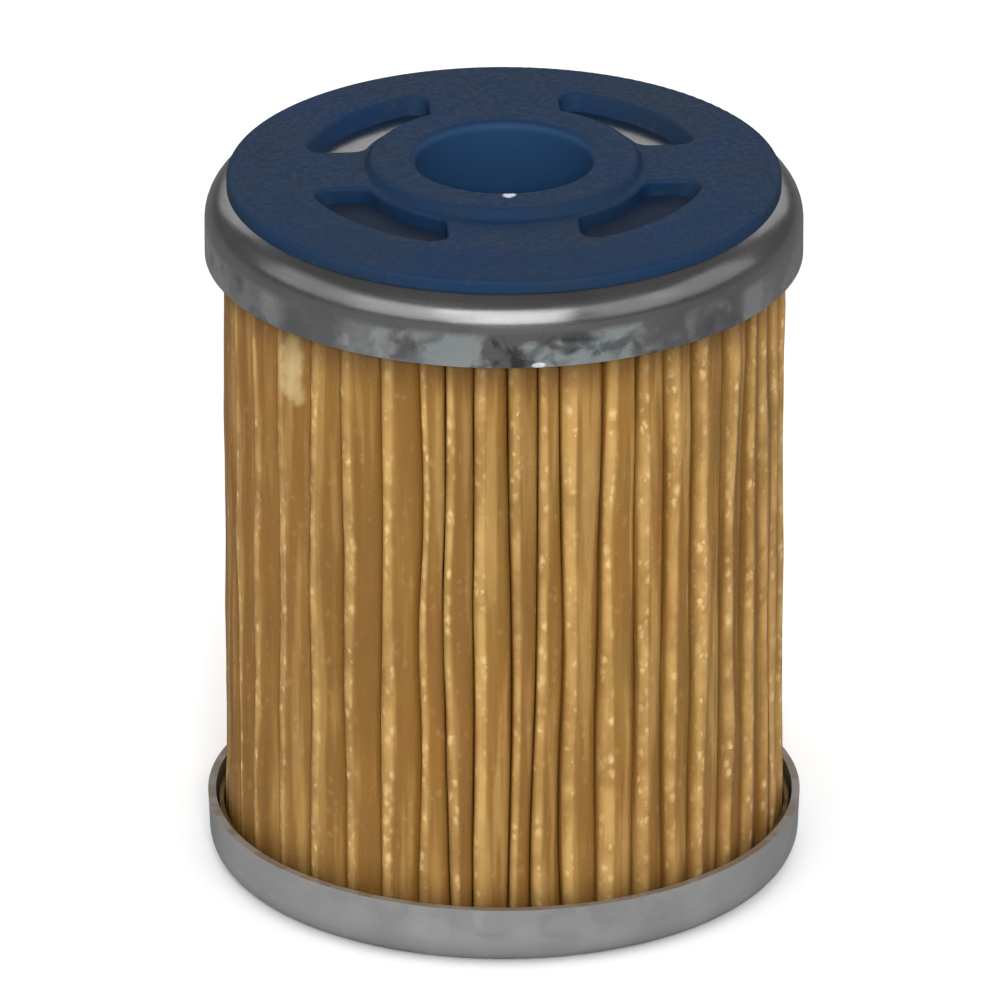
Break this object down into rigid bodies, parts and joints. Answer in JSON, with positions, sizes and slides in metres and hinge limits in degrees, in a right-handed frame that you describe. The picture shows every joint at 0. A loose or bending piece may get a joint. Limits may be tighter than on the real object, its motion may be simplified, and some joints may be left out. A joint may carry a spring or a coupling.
{
  "type": "oil filter",
  "caption": "Small-engine cartridge oil filter: pleated paper between pressed steel end caps, a moulded rubber end seal with a raised bore lip, and a relief valve in the closed end.",
  "frame": {"origin": "centre of the closed end's outer face, on the filter's axis", "axes": "+Z along the filter's axis, from the closed end to the open, rubber-faced end; +Y towards the paper's seam"},
  "size_m": [0.038, 0.038, 0.0479],
  "materials": {
    "cap_steel": "dull zinc-plated pressed sheet",
    "seal_rubber": "matt dark blue moulded rubber",
    "filter_paper": "resin-cured pleated filter paper",
    "clip_steel": "thin tinned strip",
    "tube_steel": "perforated plated sheet",
    "adhesive": "cured brown potting resin",
    "valve_steel": "pressed, yellow-passivated steel",
    "spring_steel": "bright drawn wire",
    "washer_rubber": "black moulded rubber"
  },
  "bodies": {
    "cartridge": {"top_end_cap": "cap_steel", "bottom_end_cap": "cap_steel", "end_seal": "seal_rubber", "filter_paper": "filter_paper", "seam_clip": "clip_steel", "centre_tube": "tube_steel", "top_adhesive": "adhesive", "bottom_adhesive": "adhesive", "valve_cage": "valve_steel", "valve_spring": "spring_steel"},
    "valve_plunger": {"valve_disc": "valve_steel", "valve_washer": "washer_rubber", "valve_stem": "valve_steel"}
  },
  "joints": [
    {"name": "relief_valve_lift", "type": "slide", "parent": "cartridge", "child": "valve_plunger", "axis": [0, 0, 1], "range_m": [0, 0.002], "stiffness_N_per_m": 1500, "springref_m": -0.002, "deforming": ["valve_spring"]}
  ]
}
